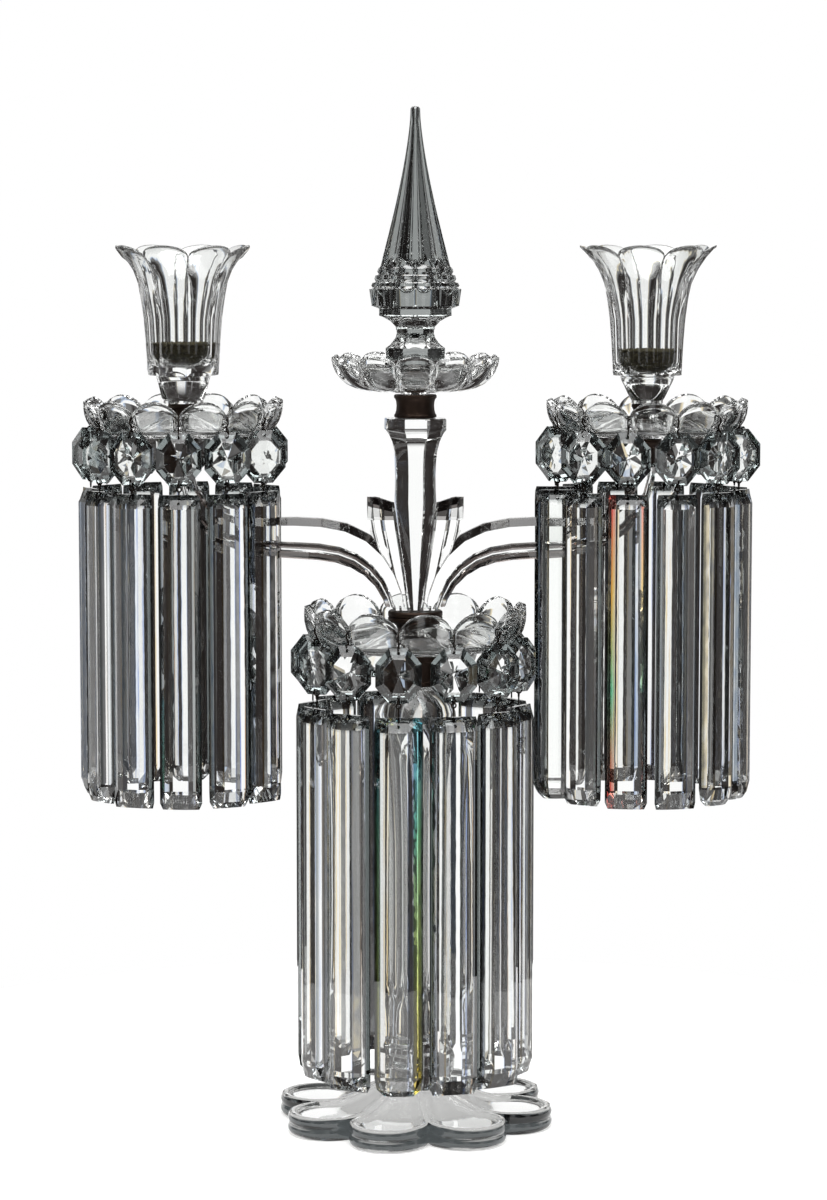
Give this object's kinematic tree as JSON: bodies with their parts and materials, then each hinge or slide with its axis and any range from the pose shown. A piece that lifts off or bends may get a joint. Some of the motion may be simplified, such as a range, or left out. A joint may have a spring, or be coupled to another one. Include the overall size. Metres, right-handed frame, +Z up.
{
  "type": "tabletop candelabra",
  "caption": "Cut-glass table candelabra: lobed foot, two arms with candle cups, petal pans hung with octagon beads and long prisms, spire finial.",
  "frame": {"origin": "centre of the foot's underside, on the surface that it stands on", "axes": "+Z up, +X towards the right candle seen from the front, -Y towards the viewer"},
  "size_m": [0.3675, 0.1506, 0.5615],
  "materials": {
    "cut_glass": "polished clear lead glass",
    "prism_glass": "polished clear lead glass on dark wire",
    "dark_brass": "darkened brass",
    "candle_packing": "matt granular cork and wax"
  },
  "bodies": {
    "base": {"foot": "cut_glass", "stem": "cut_glass", "stem_collar": "dark_brass", "centre_pan": "cut_glass"},
    "branch": {"branch_ferrule": "dark_brass", "centre_shaft": "cut_glass", "left_arm": "cut_glass", "right_arm": "cut_glass", "left_arm_peg": "dark_brass", "right_arm_peg": "dark_brass", "finial_ferrule": "dark_brass"},
    "left_pan": {"left_pan": "cut_glass"},
    "right_pan": {"right_pan": "cut_glass"},
    "left_cup": {"left_cup_ferrule": "dark_brass", "left_candle_cup": "cut_glass", "left_cup_packing": "candle_packing"},
    "right_cup": {"right_cup_ferrule": "dark_brass", "right_candle_cup": "cut_glass", "right_cup_packing": "candle_packing"},
    "finial_dish": {"finial_dish": "cut_glass"},
    "finial": {"finial_peg": "dark_brass", "finial_spire": "cut_glass"},
    "pendant_centre_01": {"pendant_centre_01": "prism_glass"},
    "pendant_centre_02": {"pendant_centre_02": "prism_glass"},
    "pendant_centre_03": {"pendant_centre_03": "prism_glass"},
    "pendant_centre_04": {"pendant_centre_04": "prism_glass"},
    "pendant_centre_05": {"pendant_centre_05": "prism_glass"},
    "pendant_centre_06": {"pendant_centre_06": "prism_glass"},
    "pendant_centre_07": {"pendant_centre_07": "prism_glass"},
    "pendant_centre_08": {"pendant_centre_08": "prism_glass"},
    "pendant_centre_09": {"pendant_centre_09": "prism_glass"},
    "pendant_centre_10": {"pendant_centre_10": "prism_glass"},
    "pendant_centre_11": {"pendant_centre_11": "prism_glass"},
    "pendant_centre_12": {"pendant_centre_12": "prism_glass"},
    "pendant_left_01": {"pendant_left_01": "prism_glass"},
    "pendant_left_02": {"pendant_left_02": "prism_glass"},
    "pendant_left_03": {"pendant_left_03": "prism_glass"},
    "pendant_left_04": {"pendant_left_04": "prism_glass"},
    "pendant_left_05": {"pendant_left_05": "prism_glass"},
    "pendant_left_06": {"pendant_left_06": "prism_glass"},
    "pendant_left_07": {"pendant_left_07": "prism_glass"},
    "pendant_left_08": {"pendant_left_08": "prism_glass"},
    "pendant_left_09": {"pendant_left_09": "prism_glass"},
    "pendant_left_10": {"pendant_left_10": "prism_glass"},
    "pendant_left_11": {"pendant_left_11": "prism_glass"},
    "pendant_right_01": {"pendant_right_01": "prism_glass"},
    "pendant_right_02": {"pendant_right_02": "prism_glass"},
    "pendant_right_03": {"pendant_right_03": "prism_glass"},
    "pendant_right_04": {"pendant_right_04": "prism_glass"},
    "pendant_right_05": {"pendant_right_05": "prism_glass"},
    "pendant_right_06": {"pendant_right_06": "prism_glass"},
    "pendant_right_07": {"pendant_right_07": "prism_glass"},
    "pendant_right_08": {"pendant_right_08": "prism_glass"},
    "pendant_right_09": {"pendant_right_09": "prism_glass"},
    "pendant_right_10": {"pendant_right_10": "prism_glass"},
    "pendant_right_11": {"pendant_right_11": "prism_glass"},
    "pendant_right_12": {"pendant_right_12": "prism_glass"}
  },
  "joints": [
    {"name": "branch_turn", "type": "hinge", "parent": "base", "child": "branch", "pos_m": [0, 0, 0.2707], "axis": [0, 0, 1], "continuous": true},
    {"name": "left_pan_lift", "type": "slide", "parent": "branch", "child": "left_pan", "axis": [0, 0, 1], "range_m": [0, 0.12]},
    {"name": "right_pan_lift", "type": "slide", "parent": "branch", "child": "right_pan", "axis": [0, 0, 1], "range_m": [0, 0.12]},
    {"name": "left_cup_lift", "type": "slide", "parent": "left_pan", "child": "left_cup", "axis": [0, 0, 1], "range_m": [0, 0.03]},
    {"name": "right_cup_lift", "type": "slide", "parent": "right_pan", "child": "right_cup", "axis": [0, 0, 1], "range_m": [0, 0.03]},
    {"name": "finial_dish_lift", "type": "slide", "parent": "branch", "child": "finial_dish", "axis": [0, 0, 1], "range_m": [0, 0.03]},
    {"name": "finial_lift", "type": "slide", "parent": "finial_dish", "child": "finial", "axis": [0, 0, 1], "range_m": [0, 0.04]},
    {"name": "swing_centre_01", "type": "hinge", "parent": "base", "child": "pendant_centre_01", "pos_m": [-0.00874, -0.05518, 0.27721], "axis": [-0.9877, 0.1564, 0], "range_deg": [-0.9, 25]},
    {"name": "swing_centre_02", "type": "hinge", "parent": "base", "child": "pendant_centre_02", "pos_m": [0.02002, -0.05216, 0.27721], "axis": [-0.9336, -0.3584, 0], "range_deg": [-0.9, 25]},
    {"name": "swing_centre_03", "type": "hinge", "parent": "base", "child": "pendant_centre_03", "pos_m": [0.04342, -0.03516, 0.27721], "axis": [-0.6293, -0.7771, 0], "range_deg": [-0.9, 25]},
    {"name": "swing_centre_04", "type": "hinge", "parent": "base", "child": "pendant_centre_04", "pos_m": [0.05518, -0.00874, 0.27721], "axis": [-0.1564, -0.9877, 0], "range_deg": [-0.9, 0.8]},
    {"name": "swing_centre_05", "type": "hinge", "parent": "base", "child": "pendant_centre_05", "pos_m": [0.05216, 0.02002, 0.27721], "axis": [0.3584, -0.9336, 0], "range_deg": [-0.9, 0.8]},
    {"name": "swing_centre_06", "type": "hinge", "parent": "base", "child": "pendant_centre_06", "pos_m": [0.03516, 0.04342, 0.27721], "axis": [0.7771, -0.6293, 0], "range_deg": [-0.9, 25]},
    {"name": "swing_centre_07", "type": "hinge", "parent": "base", "child": "pendant_centre_07", "pos_m": [0.00874, 0.05518, 0.27721], "axis": [0.9877, -0.1564, 0], "range_deg": [-0.9, 25]},
    {"name": "swing_centre_08", "type": "hinge", "parent": "base", "child": "pendant_centre_08", "pos_m": [-0.02002, 0.05216, 0.27721], "axis": [0.9336, 0.3584, 0], "range_deg": [-0.9, 25]},
    {"name": "swing_centre_09", "type": "hinge", "parent": "base", "child": "pendant_centre_09", "pos_m": [-0.04342, 0.03516, 0.27721], "axis": [0.6293, 0.7771, 0], "range_deg": [-0.9, 25]},
    {"name": "swing_centre_10", "type": "hinge", "parent": "base", "child": "pendant_centre_10", "pos_m": [-0.05518, 0.00874, 0.27721], "axis": [0.1564, 0.9877, 0], "range_deg": [-0.9, 0.8]},
    {"name": "swing_centre_11", "type": "hinge", "parent": "base", "child": "pendant_centre_11", "pos_m": [-0.05216, -0.02002, 0.27721], "axis": [-0.3584, 0.9336, 0], "range_deg": [-0.9, 0.8]},
    {"name": "swing_centre_12", "type": "hinge", "parent": "base", "child": "pendant_centre_12", "pos_m": [-0.03516, -0.04342, 0.27721], "axis": [-0.7771, 0.6293, 0], "range_deg": [-0.9, 25]},
    {"name": "swing_left_01", "type": "hinge", "parent": "left_pan", "child": "pendant_left_01", "pos_m": [-0.12628, -0.04948, 0.3926], "axis": [-0.9999, -0.0105, 0], "range_deg": [-0.9, 25]},
    {"name": "swing_left_02", "type": "hinge", "parent": "left_pan", "child": "pendant_left_02", "pos_m": [-0.10161, -0.04259, 0.3926], "axis": [-0.8607, -0.509, 0], "range_deg": [-0.9, 25]},
    {"name": "swing_left_03", "type": "hinge", "parent": "left_pan", "child": "pendant_left_03", "pos_m": [-0.08369, -0.02429, 0.3926], "axis": [-0.4909, -0.8712, 0], "range_deg": [-0.9, 0.4]},
    {"name": "swing_left_04", "type": "hinge", "parent": "left_pan", "child": "pendant_left_04", "pos_m": [-0.08421, 0.02519, 0.3926], "axis": [0.509, -0.8607, 0], "range_deg": [-0.9, 0.4]},
    {"name": "swing_left_05", "type": "hinge", "parent": "left_pan", "child": "pendant_left_05", "pos_m": [-0.10251, 0.04311, 0.3926], "axis": [0.8712, -0.4909, 0], "range_deg": [-0.9, 25]},
    {"name": "swing_left_06", "type": "hinge", "parent": "left_pan", "child": "pendant_left_06", "pos_m": [-0.12732, 0.04948, 0.3926], "axis": [0.9999, 0.0105, 0], "range_deg": [-0.9, 25]},
    {"name": "swing_left_07", "type": "hinge", "parent": "left_pan", "child": "pendant_left_07", "pos_m": [-0.15199, 0.04259, 0.3926], "axis": [0.8607, 0.509, 0], "range_deg": [-0.9, 25]},
    {"name": "swing_left_08", "type": "hinge", "parent": "left_pan", "child": "pendant_left_08", "pos_m": [-0.16991, 0.02429, 0.3926], "axis": [0.4909, 0.8712, 0], "range_deg": [-0.9, 25]},
    {"name": "swing_left_09", "type": "hinge", "parent": "left_pan", "child": "pendant_left_09", "pos_m": [-0.17628, -0.00052, 0.3926], "axis": [-0.0105, 0.9999, 0], "range_deg": [-0.9, 25]},
    {"name": "swing_left_10", "type": "hinge", "parent": "left_pan", "child": "pendant_left_10", "pos_m": [-0.16939, -0.02519, 0.3926], "axis": [-0.509, 0.8607, 0], "range_deg": [-0.9, 25]},
    {"name": "swing_left_11", "type": "hinge", "parent": "left_pan", "child": "pendant_left_11", "pos_m": [-0.15109, -0.04311, 0.3926], "axis": [-0.8712, 0.4909, 0], "range_deg": [-0.9, 25]},
    {"name": "swing_right_01", "type": "hinge", "parent": "right_pan", "child": "pendant_right_01", "pos_m": [0.13961, -0.0478, 0.3926], "axis": [-0.9659, -0.2588, 0], "range_deg": [-0.9, 25]},
    {"name": "swing_right_02", "type": "hinge", "parent": "right_pan", "child": "pendant_right_02", "pos_m": [0.16179, -0.03499, 0.3926], "axis": [-0.7071, -0.7071, 0], "range_deg": [-0.9, 25]},
    {"name": "swing_right_03", "type": "hinge", "parent": "right_pan", "child": "pendant_right_03", "pos_m": [0.1746, -0.01281, 0.3926], "axis": [-0.2588, -0.9659, 0], "range_deg": [-0.9, 25]},
    {"name": "swing_right_04", "type": "hinge", "parent": "right_pan", "child": "pendant_right_04", "pos_m": [0.1746, 0.01281, 0.3926], "axis": [0.2588, -0.9659, 0], "range_deg": [-0.9, 25]},
    {"name": "swing_right_05", "type": "hinge", "parent": "right_pan", "child": "pendant_right_05", "pos_m": [0.16179, 0.03499, 0.3926], "axis": [0.7071, -0.7071, 0], "range_deg": [-0.9, 25]},
    {"name": "swing_right_06", "type": "hinge", "parent": "right_pan", "child": "pendant_right_06", "pos_m": [0.13961, 0.0478, 0.3926], "axis": [0.9659, -0.2588, 0], "range_deg": [-0.9, 25]},
    {"name": "swing_right_07", "type": "hinge", "parent": "right_pan", "child": "pendant_right_07", "pos_m": [0.11399, 0.0478, 0.3926], "axis": [0.9659, 0.2588, 0], "range_deg": [-0.9, 25]},
    {"name": "swing_right_08", "type": "hinge", "parent": "right_pan", "child": "pendant_right_08", "pos_m": [0.09181, 0.03499, 0.3926], "axis": [0.7071, 0.7071, 0], "range_deg": [-0.9, 3]},
    {"name": "swing_right_09", "type": "hinge", "parent": "right_pan", "child": "pendant_right_09", "pos_m": [0.079, 0.01281, 0.3926], "axis": [0.2588, 0.9659, 0], "range_deg": [-0.9, 0.4]},
    {"name": "swing_right_10", "type": "hinge", "parent": "right_pan", "child": "pendant_right_10", "pos_m": [0.079, -0.01281, 0.3926], "axis": [-0.2588, 0.9659, 0], "range_deg": [-0.9, 0.4]},
    {"name": "swing_right_11", "type": "hinge", "parent": "right_pan", "child": "pendant_right_11", "pos_m": [0.09181, -0.03499, 0.3926], "axis": [-0.7071, 0.7071, 0], "range_deg": [-0.9, 3]},
    {"name": "swing_right_12", "type": "hinge", "parent": "right_pan", "child": "pendant_right_12", "pos_m": [0.11399, -0.0478, 0.3926], "axis": [-0.9659, 0.2588, 0], "range_deg": [-0.9, 25]}
  ]
}
